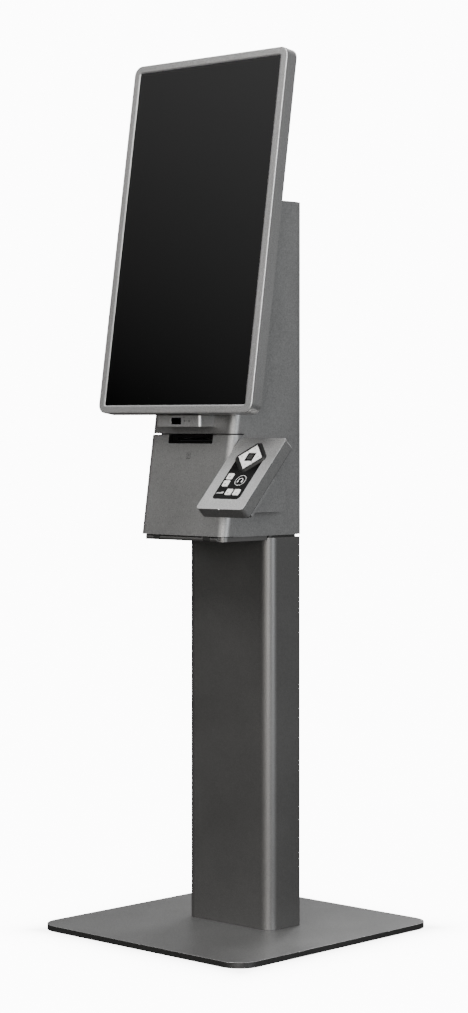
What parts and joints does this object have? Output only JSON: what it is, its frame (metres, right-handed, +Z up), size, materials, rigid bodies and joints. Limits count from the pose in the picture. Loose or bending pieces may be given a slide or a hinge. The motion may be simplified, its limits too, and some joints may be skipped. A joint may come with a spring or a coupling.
{
  "type": "touchscreen kiosk",
  "caption": "Free-standing kiosk: tall leaning touchscreen on a tapered metal head with a receipt printer door, code scanner and angled keypad, on a flat column and square base plate.",
  "frame": {"origin": "middle of the base at floor level", "axes": "+Z up, -Y towards the user, +X to the user's right"},
  "size_m": [0.49, 0.494, 1.5232],
  "materials": {
    "base_metal": "satin gunmetal",
    "column_metal": "satin gunmetal",
    "head_metal": "satin gunmetal",
    "frame_metal": "fine satin",
    "silver_metal": "fine satin",
    "screen_glass": "gloss",
    "gloss_black": "gloss",
    "black_plastic": "matte",
    "key_white": "satin",
    "rubber": "matte",
    "zinc": "zinc plated",
    "bare_steel": "satin black",
    "paper": "thermal paper",
    "board": "solder mask"
  },
  "bodies": {
    "kiosk": {"base_plate": "base_metal", "base_pads": "rubber", "foot_plate": "bare_steel", "column_bolts": "zinc", "column_tube": "column_metal", "column_cap_plate": "bare_steel", "neck_plate": "black_plastic", "cable_grommet": "rubber", "inlet_panel": "black_plastic", "rear_sockets": "black_plastic", "head_shell": "head_metal", "head_floor": "bare_steel", "bottom_tray": "column_metal", "top_cover": "head_metal", "spine_frame": "zinc", "printer_shelf": "zinc", "computer_case": "bare_steel", "power_supply": "zinc", "rear_hinges": "zinc", "rear_hinge_pins": "zinc", "screen_frame": "frame_metal", "cover_glass": "screen_glass", "screen_panel": "zinc", "screen_back": "black_plastic", "screen_arm": "bare_steel", "screen_screws": "zinc", "arm_bolts": "zinc", "scanner_housing": "frame_metal", "scanner_window": "screen_glass", "scan_engine": "black_plastic", "door_hinge_pins": "zinc", "door_magnets": "black_plastic", "printer_body": "black_plastic", "keypad_shell": "silver_metal", "keypad_overlay": "gloss_black", "arrow_rim": "black_plastic", "keypad_board": "board", "keypad_back": "black_plastic", "audio_socket": "key_white", "keypad_bracket": "head_metal", "bracket_bolts": "zinc"},
    "printer_door": {"printer_door": "head_metal", "receipt_bezel": "black_plastic"},
    "rear_door": {"rear_door": "head_metal", "rear_door_leaves": "zinc", "lock_barrel": "zinc"},
    "rear_lock": {"lock_plug": "zinc", "lock_cam": "zinc"},
    "printer_lid": {"printer_lid": "black_plastic"},
    "platen": {"platen_roller": "rubber"},
    "paper_roll": {"paper_roll": "paper"},
    "arrow_up": {"arrow_up": "key_white"},
    "arrow_down": {"arrow_down": "key_white"},
    "arrow_left": {"arrow_left": "key_white"},
    "arrow_right": {"arrow_right": "key_white"},
    "select_key": {"select_key": "gloss_black"},
    "volume_up": {"volume_up": "key_white"},
    "volume_down": {"volume_down": "key_white"},
    "back_key": {"back_key": "key_white"},
    "next_key": {"next_key": "key_white"}
  },
  "joints": [
    {"name": "printer_door_hinge", "type": "hinge", "parent": "kiosk", "child": "printer_door", "pos_m": [0, -0.133, 0.6895], "axis": [1, 0, 0], "range_deg": [0, 85]},
    {"name": "rear_door_hinge", "type": "hinge", "parent": "kiosk", "child": "rear_door", "pos_m": [-0.103, 0.0518, 0.983], "axis": [0, 0, 1], "range_deg": [0, 110]},
    {"name": "rear_lock_turn", "type": "hinge", "parent": "rear_door", "child": "rear_lock", "pos_m": [0.074, 0.05, 0.983], "axis": [0, 1, 0], "range_deg": [0, 90]},
    {"name": "printer_lid_hinge", "type": "hinge", "parent": "kiosk", "child": "printer_lid", "pos_m": [0, -0.013, 0.8515], "axis": [-1, 0, 0], "range_deg": [0, 75]},
    {"name": "platen_spin", "type": "hinge", "parent": "printer_lid", "child": "platen", "pos_m": [0, -0.09, 0.8475], "axis": [1, 0, 0], "continuous": true},
    {"name": "paper_roll_spin", "type": "hinge", "parent": "kiosk", "child": "paper_roll", "pos_m": [0, -0.05, 0.8005], "axis": [1, 0, 0], "continuous": true},
    {"name": "arrow_up_press", "type": "slide", "parent": "kiosk", "child": "arrow_up", "axis": [0, 0.7314, -0.682], "range_m": [0, 0.001], "stiffness_N_per_m": 600, "springref_m": -0.0005},
    {"name": "arrow_down_press", "type": "slide", "parent": "kiosk", "child": "arrow_down", "axis": [0, 0.7314, -0.682], "range_m": [0, 0.001], "stiffness_N_per_m": 600, "springref_m": -0.0005},
    {"name": "arrow_left_press", "type": "slide", "parent": "kiosk", "child": "arrow_left", "axis": [0, 0.7314, -0.682], "range_m": [0, 0.001], "stiffness_N_per_m": 600, "springref_m": -0.0005},
    {"name": "arrow_right_press", "type": "slide", "parent": "kiosk", "child": "arrow_right", "axis": [0, 0.7314, -0.682], "range_m": [0, 0.001], "stiffness_N_per_m": 600, "springref_m": -0.0005},
    {"name": "select_key_press", "type": "slide", "parent": "kiosk", "child": "select_key", "axis": [0, 0.7314, -0.682], "range_m": [0, 0.001], "stiffness_N_per_m": 600, "springref_m": -0.0005},
    {"name": "volume_up_press", "type": "slide", "parent": "kiosk", "child": "volume_up", "axis": [0, 0.7314, -0.682], "range_m": [0, 0.001], "stiffness_N_per_m": 600, "springref_m": -0.0005},
    {"name": "volume_down_press", "type": "slide", "parent": "kiosk", "child": "volume_down", "axis": [0, 0.7314, -0.682], "range_m": [0, 0.001], "stiffness_N_per_m": 600, "springref_m": -0.0005},
    {"name": "back_key_press", "type": "slide", "parent": "kiosk", "child": "back_key", "axis": [0, 0.7314, -0.682], "range_m": [0, 0.001], "stiffness_N_per_m": 600, "springref_m": -0.0005},
    {"name": "next_key_press", "type": "slide", "parent": "kiosk", "child": "next_key", "axis": [0, 0.7314, -0.682], "range_m": [0, 0.001], "stiffness_N_per_m": 600, "springref_m": -0.0005}
  ],
  "couplings": [
    {"joint": "platen_spin", "follows": "paper_roll_spin", "ratio": -7.6}
  ]
}
